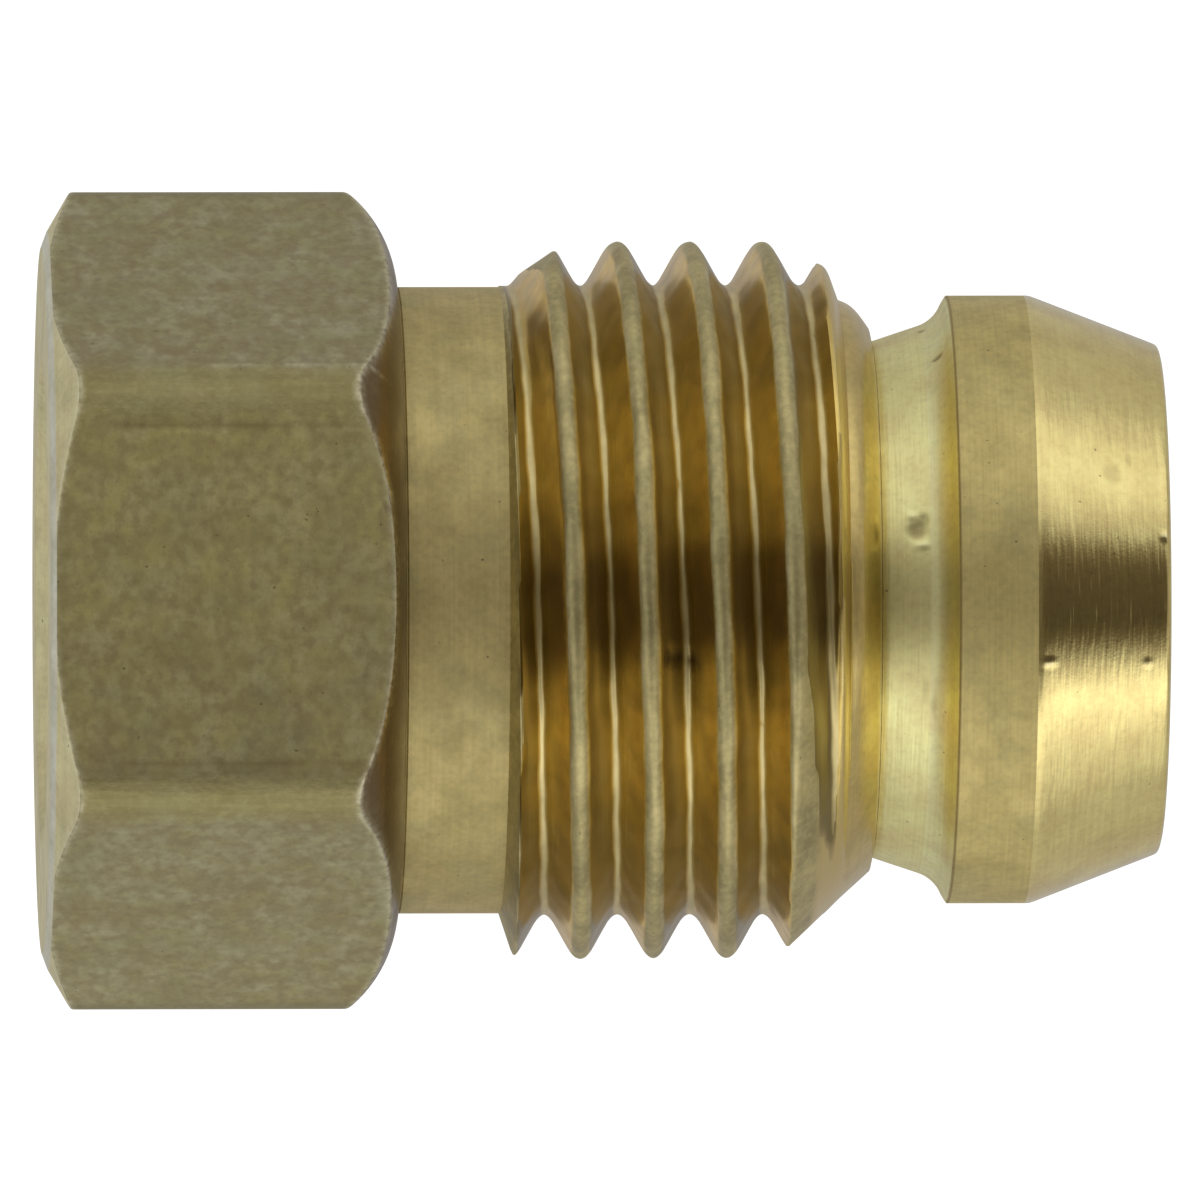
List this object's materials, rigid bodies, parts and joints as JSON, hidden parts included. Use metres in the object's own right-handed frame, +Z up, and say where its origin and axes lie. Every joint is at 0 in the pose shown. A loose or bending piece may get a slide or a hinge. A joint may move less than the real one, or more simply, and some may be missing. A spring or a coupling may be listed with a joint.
{
  "type": "break-off sleeve compression nut",
  "caption": "Hexagon-headed male compression nut with a break-off sleeve joined to its nose by a thin neck; it seals and grips a tube in a threaded port.",
  "frame": {"origin": "under mid-length of the fitting, in the plane of the hexagon flat it rests on", "axes": "+X along the tube axis from the hexagon's end face towards the break-off sleeve, +Z up and square to the top and bottom hexagon flats, +Y towards a hexagon corner"},
  "size_m": [0.0194, 0.0142, 0.0126],
  "materials": {
    "nut_brass": "drawn and turned free-machining brass, dull and slightly olive, with fine tool marks and handling marks",
    "sleeve_brass": "freshly turned brass, brighter on the tail and the front cone, with fine circumferential tool marks"
  },
  "bodies": {
    "nut": {"nut": "nut_brass"},
    "sleeve": {"break_off_sleeve": "sleeve_brass"}
  },
  "joints": [
    {"name": "sleeve_slide", "type": "slide", "parent": "nut", "child": "sleeve", "axis": [1, 0, 0], "range_m": [0, 0.012]}
  ]
}
